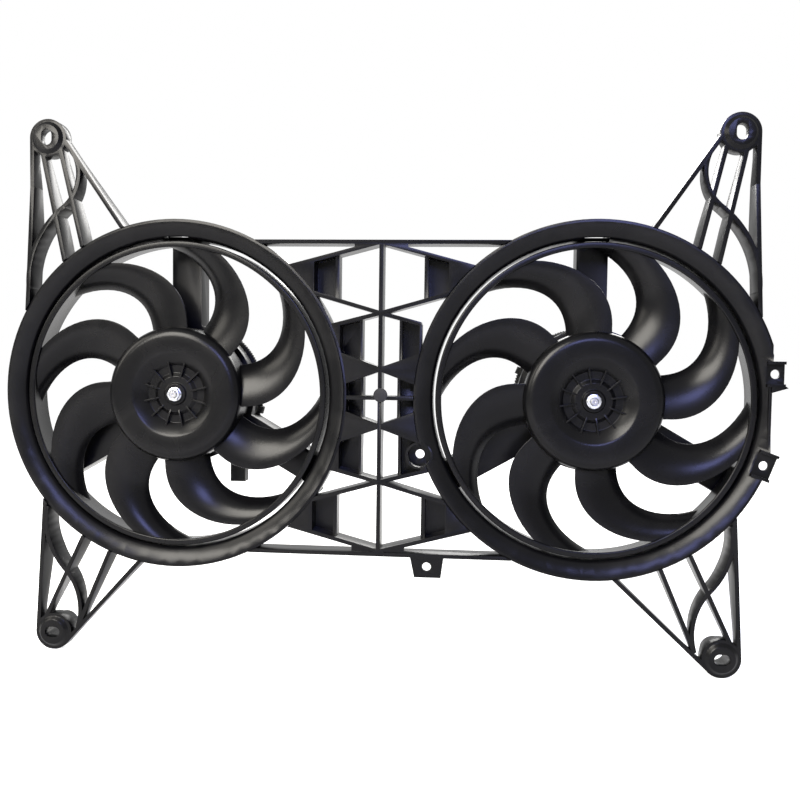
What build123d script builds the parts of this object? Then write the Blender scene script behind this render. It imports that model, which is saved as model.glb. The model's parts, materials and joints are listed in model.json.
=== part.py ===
from build123d import *
from math import atan2, cos, degrees, hypot, radians, sin, sqrt
import os

# Twin electric radiator fan: an open moulded shroud that carries two fans side by side.
# Millimetres. X runs across the car, Z is up, and Y goes back from the mounting faces,
# so the fans are looked at along +Y. The origin is midway between the two lower
# mounting slots, in the plane of the mounting faces.

# Mounting pattern
lower_slot_spacing = 715.0
upper_slot_spacing = 721.0
axis_height = 263.0
upper_slot_rise = 272.5
slot_length = 16.4
slot_width = 11.4
mount_setback = 3.5

# Fan rings of the shroud
ring_radius = 187.0
ring_gap = 70.8
wall = 3.0
mouth_width = 19.5
mouth_depth = 10.0
mouth_round = 2.5
mouth_slope = 6.5
barrel_depth = 44.0
skirt_depth = 24.0
rim_step = 2.0
flat_inset = 10.0
window_width = 26.0
window_length = 27.0
window_setback = 8.0

# Tabs on the flat side of the right ring
tab_hole = 4.7
tab_clearance = 3.0
tab_wall = 3.5
tab_recess = 5.0
flat_tab_height = 31.0
flat_tab_size = (18.0, 26.0)
flat_tab_reach = 12.5
flat_tab_wedge = 6.0
rim_tab_angle = -20.0
rim_tab_size = (19.5, 29.0)

# Lattice between the rings
lattice_depth = 25.0
lattice_rib = 4.2
bar_inset = 24.0
lower_bar_drop = 3.0
upper_node = 89.0
inner_node = 30.0
plate_wall = 2.5
tray_rib_setback = 7.0
outer_tray = (47.0, 72.0)
middle_tray = (21.0, 44.0)
inner_tray = (19.5, 46.0)
open_tray_edge = 42.0
lug_place = (42.2, -60.3)
lug_radius = 12.0
lug_wall = 2.5
lug_plate = 4.0
lug_hole = 4.9
foot_tab_place = 52.0
foot_tab_width = 36.0
foot_tab_reach = 23.0
plug_place = (1.0, 3.0)
plug_head = 7.4
plug_head_depth = 2.5
plug_stem = 3.0
plug_length = 16.0
plug_boss = 6.2

# Arms and feet
arm_rib = 4.4
arm_depth = 26.0
arm_foot_depth = 14.0
arm_slope_start = 25.0
arm_slope_end = 92.0
foot_radius = 20.0
foot_plate = 5.0
boss_radius = 14.4
boss_shoulder = 17.0
boss_wall = 2.9
upper_boss_depth = 18.0
lower_boss_depth = 35.0
right_outer_rib = (234, -82.8)
left_outer_rib = (228, -78.6)

# Fan
blade_count = 8
tip_gap = 2.9
band_wall = 3.0
band_draft = 2.8
band_front = 8.5
band_setback = 3.0
lip_depth = 5.0
hub_radius = 72.8
hub_wall = 2.5
hub_front = 1.0
hub_setback = 5.5
hub_round = 11.0
dish_edge = 44.0
dish_floor = 31.0
dish_depth = 12.0
dish_step = 20.0
dish_rib_front = 8.5
dish_rib_count = 12
shaft_boss = 11.0
shaft_boss_front = 8.0
shaft_boss_rear = 26.0
back_rib_count = 8
back_rib_rear = 30.0
thin_rib = 2.0
blade_front = 12.0
blade_root_depth = 19.0
blade_tip_depth = 18.5
root_chord = 45.0
tip_chord = 57.0
blade_lean = -4.2
blade_sweep = 37.8
blade_camber = 4.5
blade_thick = 2.8
blade_edge = 1.2
blade_steps = 3
blade_spans = 3
left_fan_turn = 8.0
right_fan_turn = 4.2

# Motor mount and struts
strut_angles = (90, 210, 330)
strut_width = 31.0
strut_flare = 1.5
strut_depth = 26.0
mount_outer = 77.0
mount_plate = 4.0
mount_rim_depth = 19.0
mount_gap = 1.5
screw_boss = 5.5
screw_boss_depth = 14.0

# Motor
can_radius = 46.0
can_wall = 2.5
can_length = 50.5
can_chamfer = 2.0
rear_boss = 14.0
rear_boss_depth = 4.5
end_plate = 3.0
ear_radius = 8.5
screw_reach = 8.0
screw_angles = (30, 150, 270)
screw_radius = 2.5
screw_head = 4.6
screw_head_depth = 2.6
screw_length = 14.0
screw_gap = 0.1
shaft_radius = 4.0
shaft_front = 1.2
bearing_gap = 0.03
bearing_radius = 11.0
bearing_length = 6.5
bearing_lip = 1.5
bearing_housing = 2.5
magnet_count = 4
magnet_angle = 70.0
magnet_gap = 1.0
magnet_thick = 9.0
magnet_length = 30.0
core_length = 24.0
core_slots = 10
slot_inner = 15.0
slot_outer = 30.0
slot_inner_width = 4.0
slot_outer_width = 9.0
slot_mouth = 2.4
coil_reach = 4.5
coil_inner = 9.0
commutator_radius = 11.0
commutator_length = 8.0
commutator_setback = 1.5
brush_gap = 0.3
brush_size = 6.0
brush_length = 15.0
brush_play = 0.1
brush_box_wall = 1.6
brush_plate = 2.0
nut_width = 13.0
nut_front = 2.4

# Leads
loom_radius = 5.0
loom_gap = 0.3
loom_sides = 12
lead_in_radius = 60.0
lead_in_angle = 150.0
loom_turn_in = 50.0
loom_turn_out = -38.0
lead_out_radius = 35.0
clip_angles = (22, -14)
clip_wall = 2.2
clip_length = 8.0
grommet_length = 14.0
grommet_width = 14.0
connector_width = 17.0
connector_depth = 15.0
connector_length = 34.0
connector_reach = 20.0
connector_post_angle = -60.0

# Places that follow from the sizes above
axis_x = ring_radius + ring_gap / 2
flat_x = ring_radius - flat_inset
barrel_radius = ring_radius - mouth_width
barrel_outer = barrel_radius + wall
shroud_front = mount_setback
barrel_rear = shroud_front + barrel_depth
skirt_rear = shroud_front + skirt_depth
bar_height = ring_radius - bar_inset
tray_rear = shroud_front + lattice_depth
band_rear = barrel_rear - band_setback
hub_rear = barrel_rear - hub_setback
band_outer = barrel_radius - tip_gap
strut_front = barrel_rear
strut_rear = strut_front + strut_depth
mount_inner = can_radius + mount_gap
screw_circle = can_radius + screw_reach
ear_front = strut_front - end_plate
can_rear = strut_front + can_length
can_inner = can_radius - can_wall
can_floor = can_rear - can_wall
rear_bearing_rear = can_rear + rear_boss_depth - can_wall
front_bearing_rear = ear_front
front_bearing_front = front_bearing_rear - bearing_length
shaft_rear = rear_bearing_rear - 1
commutator_front = strut_front + commutator_setback
brush_middle = commutator_front + commutator_length / 2
brush_plate_front = brush_middle + brush_size / 2 + brush_play
magnet_front = brush_plate_front + brush_plate + 2
magnet_inner = can_inner - magnet_thick
core_radius = magnet_inner - magnet_gap
core_front = magnet_front + (magnet_length - core_length) / 2
core_rear = core_front + core_length
loom_depth = strut_rear + loom_radius + loom_gap
loom_circle = mount_outer - wall / 2


# Helpers

def prism(outline, front, rear):
    """An outline drawn in x and z, extruded from one depth to another."""
    return extrude(Plane.XZ.offset(-front) * outline, amount=rear - front, dir=(0, 1, 0))


def turned(corners):
    """A solid of revolution about the Y axis, from corners of radius and depth."""
    return revolve(make_face(Polyline(*corners, close=True)), Axis.Y)


def disc(radius, front, rear):
    """A round solid on the Y axis."""
    return prism(Circle(radius), front, rear)


def tube(outer, inner, front, rear):
    """A round wall on the Y axis."""
    return prism(Circle(outer) - Circle(inner), front, rear)


def polar(radius, angle):
    """The x and z of a point at an angle from +X towards +Z."""
    return (radius * cos(radians(angle)), radius * sin(radians(angle)))


def shifted(point, centre):
    """A point of x and z that is given from a centre."""
    return (centre[0] + point[0], centre[1] + point[1])


def strip(start, end, width):
    """A straight rib seen from the front, square at both ends."""
    length = hypot(end[0] - start[0], end[1] - start[1])
    angle = degrees(atan2(end[1] - start[1], end[0] - start[0]))
    middle = ((start[0] + end[0]) / 2, (start[1] + end[1]) / 2)
    return Pos(*middle) * Rot(0, 0, angle) * Rectangle(length, width)


def curved_strip(start, through, end, width):
    """A rib along an arc, seen from the front."""
    return trace(ThreePointArc(start, through, end), width)


def turn(shape, angle):
    """Turns a shape about the Y axis, from +X towards +Z."""
    return Rot(0, -angle, 0) * shape


def around(shape, count, start=0):
    """Copies of a shape evenly round the Y axis."""
    return [turn(shape, start + 360 * i / count) for i in range(count)]


def on_axis(shape, side):
    """Puts a shape made about the Y axis on the left (-1) or right (1) fan axis."""
    return Pos(side * axis_x, 0, axis_height) * shape


def handed(shape, side):
    """A shape made for the left fan, mirrored where it goes on the right one."""
    return mirror(shape, Plane.YZ) if side > 0 else shape


# Shroud: rings

def ring_wall():
    """Rim, bell mouth, barrel and outer skirt of a fan ring, all of one wall."""
    rim = ring_radius - wall
    throat = barrel_radius + mouth_round
    ring = turned([
        (ring_radius, shroud_front + rim_step),
        (rim, shroud_front + rim_step),
        (rim, shroud_front),
        (throat, shroud_front + mouth_slope),
        (barrel_radius, shroud_front + mouth_depth),
        (barrel_radius, barrel_rear),
        (barrel_outer, barrel_rear),
        (barrel_outer, shroud_front + mouth_depth + wall / 2),
        (rim, shroud_front + wall * 1.2),
        (rim, skirt_rear),
        (ring_radius, skirt_rear),
    ])
    window_middle = shroud_front + window_setback + window_length / 2
    window = Pos(0, window_middle, barrel_radius) * Box(window_width, window_length, mouth_width)
    return ring - window


def pocket_tab(size):
    """A recessed plate between two side walls; x points out of the ring."""
    width, height = size
    plate_front = shroud_front + tab_recess
    plate = prism(Rectangle(width, height) - Circle(tab_hole), plate_front, plate_front + tab_wall)
    side = Rectangle(width, wall)
    edge = height / 2 - wall / 2
    walls = prism(Pos(0, edge) * side + Pos(0, -edge) * side, shroud_front, plate_front + tab_wall)
    return plate + walls


def right_ring_wall():
    """The ring with its right side cut flat, closed by a wall, and with two tabs."""
    kept = Pos(flat_x - 2 * ring_radius, 0, 0) * Box(4 * ring_radius, 200, 4 * ring_radius)
    half_height = sqrt(ring_radius**2 - flat_x**2)
    flat_wall = prism(
        (Pos(flat_x - wall / 2, 0) * Rectangle(wall, 2 * half_height)) & Circle(ring_radius),
        shroud_front + rim_step,
        skirt_rear,
    )
    tab_outer = flat_x + flat_tab_reach
    flat_place = Pos(tab_outer - flat_tab_size[0] / 2, 0, flat_tab_height)
    rim_place = turn(Pos(ring_radius - 4, 0, 0) * Box(1, 1, 1), rim_tab_angle).center()
    rim_place = Pos(rim_place.X, 0, rim_place.Z) * Rot(0, -rim_tab_angle, 0)
    ring = (ring_wall() & kept) + flat_wall
    pocket_place = Pos(lug_place[0] - axis_x, 0, lug_place[1])
    within = disc(ring_radius, 0, tray_rear) - disc(barrel_outer, 0, tray_rear)
    ring -= pocket_place * disc(lug_radius, 0, tray_rear)
    ring += (Pos(-axis_x, 0, 0) * lug_pocket()) & within
    for place, size in ((flat_place, flat_tab_size), (rim_place, rim_tab_size)):
        ring -= place * prism(Rectangle(*size), 0, shroud_front + tab_recess)
        ring -= place * prism(Circle(tab_hole + tab_clearance), 0, skirt_rear + 1)
        ring += place * pocket_tab(size)
    low = flat_tab_height - flat_tab_size[1] / 2
    wedge = Polygon(
        (flat_x - 1, low + 1),
        (tab_outer, low + 1),
        (tab_outer + wall, low - 1),
        (flat_x - 1, low - flat_tab_wedge),
        align=None,
    )
    return ring + prism(wedge, shroud_front, shroud_front + tab_recess + tab_wall)


# Shroud: lattice

def mirror_points(points, side, half):
    """Points of the upper right quarter, taken to another quarter."""
    return [(side * x, half * z) for x, z in points]


def slope_height(node, slope, x):
    """Height at x of a sloping rib that leaves the middle rib at a node."""
    return node + slope * x


def sloping_ribs():
    """The five sloping ribs of a quarter, each as its node's height and its slope."""
    return {
        "top": (bar_height, -0.265),
        "upper_rise": (upper_node, 0.286),
        "upper_fall": (upper_node, -0.262),
        "inner_rise": (inner_node, 0.356),
        "inner_fall": (inner_node, -0.3625),
    }


def tray_corners(above, below, inner, outer):
    """Corners of the field between two sloping ribs, from one x to another."""
    return [
        (inner, slope_height(*above, inner)),
        (outer, slope_height(*above, outer)),
        (outer, slope_height(*below, outer)),
        (inner, slope_height(*below, inner)),
    ]


def field_to_meeting(above, below, inner):
    """Corners of the field from an x to where its two ribs would meet."""
    meeting = (above[0] - below[0]) / (below[1] - above[1])
    return [
        (inner, slope_height(*above, inner)),
        (meeting, slope_height(*above, meeting)),
        (inner, slope_height(*below, inner)),
    ]


def quarter(side, half):
    """Ribs, front plates, rear trays and tray edges of one quarter of the lattice."""
    ribs_at = sloping_ribs()
    reach = axis_x - ring_radius * 0.4
    gap_side = side > 0 and half > 0
    lug_side = side > 0 and half < 0

    def flat(points):
        return Polygon(*mirror_points(points, side, half), align=None)

    def rib(points, width=lattice_rib):
        return strip(*mirror_points(points, side, half), width)

    ribs = []
    for name, (node, slope) in ribs_at.items():
        end = open_tray_edge if gap_side and name == "upper_fall" else reach
        ribs.append(rib([(0, node), (end, slope_height(node, slope, end))]))

    top, rise = ribs_at["top"], ribs_at["upper_rise"]
    fall, inner_rise = ribs_at["upper_fall"], ribs_at["inner_rise"]
    inner_fall = ribs_at["inner_fall"]
    plates = [
        flat(field_to_meeting(top, rise, outer_tray[1])),
        flat([(0, inner_node), *tray_corners(inner_rise, inner_fall, 60, 60)[1:3]]),
        flat([(0, bar_height), (28, bar_height), (28, slope_height(*top, 28))]),
    ]
    if not gap_side:
        plates.append(flat(field_to_meeting(fall, inner_rise, middle_tray[1])))

    middle_end = open_tray_edge if gap_side else middle_tray[1]
    trays = [
        flat(tray_corners(top, rise, *outer_tray)),
        flat(tray_corners(fall, inner_rise, middle_tray[0], middle_end)),
        flat(tray_corners(inner_fall, (0, 0), *inner_tray)),
    ]
    steps = [
        rib([(outer_tray[1], slope_height(*line, outer_tray[1])) for line in (top, rise)], plate_wall),
        rib([(middle_end, slope_height(*line, middle_end)) for line in (fall, inner_rise)], plate_wall),
    ]
    edges = [
        rib([(outer_tray[0], slope_height(*line, outer_tray[0])) for line in (top, rise)]),
        rib([(middle_tray[0], slope_height(*line, middle_tray[0])) for line in (fall, inner_rise)], 3),
        rib([(inner_tray[0], 0), (inner_tray[0], slope_height(*inner_fall, inner_tray[0]))], 3),
    ]
    if lug_side:
        steps = steps[:1]
    return ribs, plates, trays, steps, edges


def lug_pocket():
    """Round pocket with a holed floor at the rear, placed from the middle of the lattice."""
    place = Pos(lug_place[0], 0, lug_place[1])
    side = tube(lug_radius + lug_wall, lug_radius, shroud_front + lug_wall, tray_rear)
    floor = tube(lug_radius, lug_hole, tray_rear - lug_plate, tray_rear)
    return place * (side + floor)


def centre_lattice():
    """Ribs, plates and stepped trays between the two rings, cut to their rims."""
    ribs, plates, trays, steps, edges = [], [], [], [], []
    for side in (-1, 1):
        for half in (-1, 1):
            for group, found in zip((ribs, plates, trays, steps, edges), quarter(side, half)):
                group.extend(found)
    bar_end = axis_x - ring_radius * 0.4
    low_bar = -bar_height - lower_bar_drop
    ribs.append(strip((-bar_end, bar_height), (bar_end, bar_height), lattice_rib))
    ribs.append(strip((-bar_end, low_bar), (bar_end, low_bar), lattice_rib))
    ribs.append(strip((0, low_bar), (0, bar_height), lattice_rib))
    ribs.append(strip((-axis_x / 3, 0), (axis_x / 3, 0), lattice_rib))
    rims = Pos(-axis_x, 0) * Circle(ring_radius) + Pos(axis_x, 0) * Circle(ring_radius)

    def layer(shapes, front, rear):
        return prism((Sketch() + shapes) - rims, front, rear)

    frame = layer(ribs, shroud_front, tray_rear)
    frame += layer(plates, shroud_front, shroud_front + plate_wall)
    frame += layer(trays, tray_rear - plate_wall, tray_rear)
    frame += layer(steps, shroud_front, tray_rear)
    frame += layer(edges, shroud_front + tray_rib_setback, tray_rear)
    frame += prism(Pos(*plug_place) * Circle(plug_boss), shroud_front, shroud_front + plug_length / 2)
    frame -= prism(Pos(*plug_place) * Circle(plug_stem), 0, shroud_front + plug_length + 1)

    frame -= prism((Pos(*lug_place) * Circle(lug_radius)) - rims, 0, tray_rear)
    frame += lug_pocket() - prism(rims, 0, tray_rear)

    half_width = foot_tab_width / 2
    tab = Polygon(
        (foot_tab_place - half_width, low_bar),
        (foot_tab_place + half_width, low_bar),
        (foot_tab_place + half_width - 3, low_bar - foot_tab_reach),
        (foot_tab_place - half_width + 5, low_bar - foot_tab_reach),
        align=None,
    )
    tab -= Pos(foot_tab_place, low_bar - foot_tab_reach / 2) * Circle(tab_hole)
    frame += prism(tab, shroud_front, shroud_front + tab_wall)
    return Pos(0, 0, axis_height) * frame


def centre_plug():
    """Push-in plug at the crossing of the middle ribs."""
    head = disc(plug_head, shroud_front - plug_head_depth, shroud_front)
    stem = disc(plug_stem, shroud_front, shroud_front + plug_length)
    return Pos(plug_place[0], 0, axis_height + plug_place[1]) * (head + stem)


# Shroud: arms and feet

def foot(slot_turn, boss_depth):
    """Mounting foot: plate, rim, and a hollow boss proud of the shroud, with a slot."""
    boss = turned([
        (0, 0),
        (boss_radius - 1, 0),
        (boss_radius, 1),
        (boss_shoulder, shroud_front),
        (boss_shoulder, shroud_front + 1),
        (0, shroud_front + 1),
    ])
    plate = disc(foot_radius, shroud_front, shroud_front + foot_plate)
    rim = tube(foot_radius, foot_radius - arm_rib, shroud_front, shroud_front + arm_foot_depth)
    socket = tube(boss_radius, boss_radius - boss_wall, shroud_front, boss_depth)
    slot = prism(Rot(0, 0, slot_turn) * SlotOverall(slot_length, slot_width), -1, boss_depth)
    return boss + plate + rim + socket - slot


def arm(foot_at, slot_turn, boss_depth, ribs, curves):
    """An arm on the right: upright ribs from a foot to the ring, shallower at the foot."""
    lines = [strip(start, end, arm_rib) for start, end in ribs]
    bends = [curved_strip(*points, arm_rib) for points in curves]
    rim = Pos(axis_x, 0) * Circle(ring_radius)
    outline = (Sketch() + (lines + bends)) - rim - Pos(*foot_at) * Circle(boss_radius - 1)
    web = prism(outline, shroud_front, shroud_front + arm_depth)
    up = 1 if foot_at[1] > 0 else -1
    behind = shroud_front + arm_depth + 10
    shallow = shroud_front + arm_foot_depth
    start_height = foot_at[1] - up * arm_slope_start
    slope = Polygon(
        (shallow, foot_at[1] + up * 2 * foot_radius),
        (shallow, start_height),
        (shroud_front + arm_depth, foot_at[1] - up * arm_slope_end),
        (behind, foot_at[1] - up * arm_slope_end),
        (behind, foot_at[1] + up * 2 * foot_radius),
        align=None,
    )
    web -= extrude(Plane.YZ * slope, amount=2 * axis_x, both=True)
    web += Pos(foot_at[0], 0, foot_at[1]) * foot(slot_turn, boss_depth)
    return Pos(0, 0, axis_height) * web


def upper_arm():
    """Upper right arm, with its slot upright."""
    foot_at = (upper_slot_spacing / 2, upper_slot_rise)

    def by_foot(x, z):
        return shifted((x, z), foot_at)

    def on_foot(angle):
        return shifted(polar(foot_radius - arm_rib / 2, angle), foot_at)

    def on_ring(angle):
        return shifted(polar(ring_radius - 3, angle), (axis_x, 0))

    knee = by_foot(foot_radius - arm_rib / 2, -51.5)
    bend = by_foot(-17.5, -72.5)
    ribs = [
        (on_foot(0), knee),
        (knee, on_ring(27.8)),
        (on_foot(188), on_ring(72.5)),
        (on_foot(-70), on_ring(49.2)),
        (on_foot(221.5), on_ring(57)),
    ]
    curves = [
        (by_foot(-29.7, -20), by_foot(-32, -48.5), bend),
        (bend, by_foot(7.5, -99.5), by_foot(23, -160.5)),
    ]
    return arm(foot_at, 90, upper_boss_depth, ribs, curves)


def lower_arm(outer_turn, outer_end):
    """Lower right arm, with its slot level and a longer boss; its outer rib is set by two angles."""
    foot_at = (lower_slot_spacing / 2, -axis_height)

    def by_foot(x, z):
        return shifted((x, z), foot_at)

    def on_foot(angle):
        return shifted(polar(foot_radius - arm_rib / 2, angle), foot_at)

    def on_ring(angle):
        return shifted(polar(ring_radius - 3, angle), (axis_x, 0))

    bend = by_foot(-15.5, 67)
    branch = by_foot(-27, 5)
    ribs = [
        (on_foot(0), on_ring(-38.5)),
        (on_foot(outer_turn), on_ring(outer_end)),
        (on_foot(60), on_ring(-57.1)),
        (branch, on_ring(-67.5)),
    ]
    curves = [
        (branch, by_foot(-28, 42), bend),
        (bend, by_foot(0.5, 90), by_foot(7, 138)),
    ]
    return arm(foot_at, 0, lower_boss_depth, ribs, curves)


# Shroud: motor mounts

def strut():
    """A channel along +X from the motor ring to the fan ring, open at the rear."""
    start = mount_outer - wall
    side_view = Polygon(
        (start, strut_front),
        (barrel_radius, strut_front),
        (barrel_radius, skirt_rear),
        (ring_radius, skirt_rear),
        (ring_radius, strut_front + 6),
        (barrel_outer + 4, strut_rear),
        (start, strut_rear),
        align=None,
    )
    solid = extrude(side_view, amount=strut_width, both=True)

    def channel(inset, front, rear):
        front_half = strut_width / 2 - inset
        rear_half = front_half + strut_flare
        section = Polygon(
            (front, -front_half),
            (front, front_half),
            (rear, rear_half),
            (rear, -rear_half),
            align=None,
        )
        return extrude(Plane.YZ * section, amount=2 * ring_radius, dir=(1, 0, 0))

    hollow = channel(wall, strut_front + wall, strut_rear + 1)
    hollow &= Pos(mount_outer + 2 * ring_radius, 0, 0) * Box(4 * ring_radius, 400, 400)
    inside_leg = Pos(barrel_outer + ring_radius, 0, 0) * Box(
        2 * ring_radius, 400, strut_width - 2 * wall
    )
    solid = solid & channel(0, 0, strut_rear)
    solid = solid - hollow - inside_leg
    return (solid & disc(ring_radius, 0, 2 * strut_rear)) - disc(barrel_outer, 0, strut_front)


def motor_mount():
    """Motor ring with two rims and three screw bosses, on three struts."""
    ring = turned([
        (mount_inner, strut_front),
        (mount_outer, strut_front),
        (mount_outer, strut_front + mount_rim_depth),
        (mount_outer - wall, strut_front + mount_rim_depth),
        (mount_outer - wall, strut_front + mount_plate),
        (mount_inner + wall, strut_front + mount_plate),
        (mount_inner + wall, strut_front + mount_rim_depth - mount_plate),
        (mount_inner, strut_front + mount_rim_depth - mount_plate),
    ])
    boss = prism(Pos(screw_circle, 0) * Circle(screw_boss), strut_front, strut_front + screw_boss_depth)
    hole = prism(
        Pos(screw_circle, 0) * Circle(screw_radius + screw_gap),
        strut_front - 1,
        strut_front + screw_boss_depth + 1,
    )
    mount = ring + [turn(boss, angle) for angle in screw_angles]
    mount -= [turn(hole, angle) for angle in screw_angles]
    mount += [turn(strut(), angle) for angle in strut_angles]
    return mount - disc(mount_inner, 0, strut_rear + 1)


# Fan

def blade_share(radius):
    """How far a radius lies from the hub (0) to the band (1)."""
    return max(0, (radius - hub_radius) / (band_outer - band_wall - hub_radius))


def blade_section(radius):
    """Cambered section of a blade, thin at both edges, on a plane square to the radius."""
    share = blade_share(radius)
    angle = blade_lean * share + blade_sweep * share**2
    chord = root_chord + (tip_chord - root_chord) * share
    rear = blade_front + blade_root_depth + (blade_tip_depth - blade_root_depth) * share
    lead = Vector(-chord / 2, -blade_front)
    span = Vector(chord / 2, -rear) - lead
    across = Vector(-span.Y, span.X).normalized()

    def skin(along, side):
        bulge = 4 * along * (1 - along)
        half = (blade_edge + (blade_thick - blade_edge) * bulge) / 2
        return lead + span * along + across * (blade_camber * bulge + side * half)

    steps = [i / blade_steps for i in range(blade_steps + 1)]
    upper = [skin(along, 1) for along in steps]
    lower = [skin(along, -1) for along in reversed(steps)]
    x, z = polar(radius, angle)
    tangent = (-sin(radians(angle)), 0, cos(radians(angle)))
    outward = (cos(radians(angle)), 0, sin(radians(angle)))
    face = make_face(Polyline(*upper, *lower, close=True))
    return Plane(origin=(x, 0, z), x_dir=tangent, z_dir=outward) * face


def blade():
    """One blade, from inside the hub wall to inside the band, centred on +X at its root."""
    root = hub_radius - 4.3
    tip = band_outer - band_wall - 0.6
    radii = [root + (tip - root) * i / blade_spans for i in range(blade_spans + 1)]
    return loft([blade_section(radius) for radius in radii])


def tip_band():
    """Band round the blade tips, drafted, with a rolled front lip."""
    inner = band_outer - band_wall
    lip_outer = band_outer - 0.3
    front_outer = band_outer - band_draft + 0.4
    return turned([
        (inner - band_draft - 1, band_front + 2),
        (inner - band_draft + 0.7, band_front),
        (lip_outer - 0.8, band_front),
        (lip_outer, band_front + 2.5),
        (front_outer, band_front + lip_depth),
        (band_outer, band_rear),
        (inner, band_rear),
        (inner - band_draft, band_front + lip_depth),
    ])


def hub_body():
    """Outside of the hub: a drum with a rounded shoulder and a dished front."""
    flat = hub_radius - hub_round
    shoulder = hub_front + hub_round
    diagonal = hub_round * (1 - sqrt(0.5))
    floor = hub_front + dish_depth
    front = Polyline(
        (0, hub_rear),
        (0, shaft_boss_front),
        (shaft_boss, shaft_boss_front),
        (shaft_boss + 1.5, floor - 3),
        (dish_step, floor - 3),
        (dish_step, floor),
        (dish_floor, floor),
        (dish_edge, hub_front),
        (flat, hub_front),
    )
    corner = ThreePointArc(
        (flat, hub_front),
        (hub_radius - diagonal, hub_front + diagonal),
        (hub_radius, shoulder),
    )
    side = Polyline((hub_radius, shoulder), (hub_radius, hub_rear), (0, hub_rear))
    return revolve(make_face([front, corner, side]), Axis.Y)


def hub_cavity():
    """Space behind the hub's wall, open at the rear, round the shaft boss."""
    floor = hub_front + dish_depth + wall
    skin = hub_front + hub_wall
    flat = hub_radius - hub_round
    inner = hub_radius - hub_wall
    return turned([
        (0, shaft_boss_rear),
        (shaft_boss, shaft_boss_rear),
        (shaft_boss, floor),
        (dish_floor + 1.5, floor),
        (dish_edge + 1.5, skin),
        (flat, skin),
        (inner, hub_front + hub_round),
        (inner, hub_rear + 1),
        (0, hub_rear + 1),
    ])


def fan_moulding():
    """Hub, blades and band, which are one moulding."""
    cavity = hub_cavity()
    dish_rib = prism(
        strip((dish_step - 2, 0), (dish_floor + 5, 0), thin_rib),
        dish_rib_front,
        hub_front + dish_depth + 1,
    )
    back_rib = prism(strip((0, 0), (hub_radius, 0), thin_rib), hub_front, back_rib_rear) & cavity
    body = hub_body() + tip_band() + around(blade(), blade_count)
    body = body - cavity
    body += around(dish_rib, dish_rib_count, 5)
    body += around(back_rib, back_rib_count)
    return body - disc(shaft_radius, 0, hub_rear)


def fan_nut():
    """Hexagon nut on the front end of the shaft."""
    outline = RegularPolygon(nut_width / 2, 6, major_radius=False) - Circle(shaft_radius)
    return prism(outline, nut_front, shaft_boss_front)


# Motor

def motor_can():
    """Can closed at the rear by a bearing housing."""
    return turned([
        (can_inner, strut_front),
        (can_radius, strut_front),
        (can_radius, can_rear - can_chamfer),
        (can_radius - can_chamfer, can_rear),
        (rear_boss, can_rear),
        (rear_boss, can_rear + rear_boss_depth),
        (0, can_rear + rear_boss_depth),
        (0, rear_bearing_rear),
        (bearing_radius, rear_bearing_rear),
        (bearing_radius, can_floor),
        (can_inner, can_floor),
    ])


def motor_end_plate():
    """Front plate of the motor, with a bearing housing and three screwed ears."""
    housing = bearing_radius + bearing_housing
    plate = turned([
        (shaft_radius + 2, front_bearing_front - bearing_lip),
        (housing, front_bearing_front - bearing_lip),
        (housing, ear_front),
        (can_radius, ear_front),
        (can_radius, strut_front),
        (bearing_radius, strut_front),
        (bearing_radius, front_bearing_front),
        (shaft_radius + 2, front_bearing_front),
    ])
    ear_outline = strip((can_inner - 4, 0), (screw_circle, 0), 2 * ear_radius)
    ear_outline += Pos(screw_circle, 0) * Circle(ear_radius)
    ear_outline -= Pos(screw_circle, 0) * Circle(screw_radius + screw_gap)
    ear = prism(ear_outline, ear_front, strut_front)
    return plate + [turn(ear, angle) for angle in screw_angles]


def motor_screws():
    """Three screws through the ears into the mount, as separate solids."""
    head = disc(screw_head, ear_front - screw_head_depth, ear_front)
    screw = head + disc(screw_radius, ear_front, ear_front + screw_length)
    return [turn(Pos(screw_circle, 0, 0) * screw, angle) for angle in screw_angles]


def motor_magnets():
    """Curved magnets on the inside of the can, as separate solids."""
    start, end = -magnet_angle / 2, magnet_angle / 2
    outer_arc = ThreePointArc(polar(can_inner, start), (can_inner, 0), polar(can_inner, end))
    inner_arc = ThreePointArc(polar(magnet_inner, end), (magnet_inner, 0), polar(magnet_inner, start))
    sides = [Line(outer_arc @ 1, inner_arc @ 0), Line(inner_arc @ 1, outer_arc @ 0)]
    magnet = prism(make_face([outer_arc, inner_arc, *sides]), magnet_front, magnet_front + magnet_length)
    return around(magnet, magnet_count, 45)


def bearing(front):
    """A plain bearing ring that clears the turning shaft."""
    return tube(bearing_radius, shaft_radius + bearing_gap, front, front + bearing_length)


def brush_holder():
    """Insulating plate across the can, with two boxes for the brushes."""
    opening = commutator_radius + 3
    plate = tube(can_inner, opening, brush_plate_front, brush_plate_front + brush_plate)
    box_size = brush_size + 2 * brush_play + 2 * brush_box_wall
    channel_size = brush_size + 2 * brush_play
    box_front = brush_middle - box_size / 2
    length = brush_length + 4
    centre = opening + length / 2
    housing = Pos(centre, (box_front + brush_plate_front) / 2, 0) * Box(
        length, brush_plate_front - box_front, box_size
    )
    channel = Pos(centre, brush_middle, 0) * Box(length + 1, channel_size, channel_size)
    box = housing - channel
    return plate + [box, turn(box, 180)]


def brushes():
    """Two brushes, each a separate solid, just clear of the commutator."""
    inner = commutator_radius + brush_gap
    brush = Pos(inner + brush_length / 2, brush_middle, 0) * Box(brush_length, brush_size, brush_size)
    return [brush, turn(brush, 180)]


def slot_field(margin):
    """A winding slot of the core seen from the front, less a margin all round."""
    inner_half = slot_inner_width / 2 - margin
    outer_half = slot_outer_width / 2 - margin
    return Polygon(
        (slot_inner + margin, -inner_half),
        (slot_outer - margin, -outer_half),
        (slot_outer - margin, outer_half),
        (slot_inner + margin, inner_half),
        align=None,
    )


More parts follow.
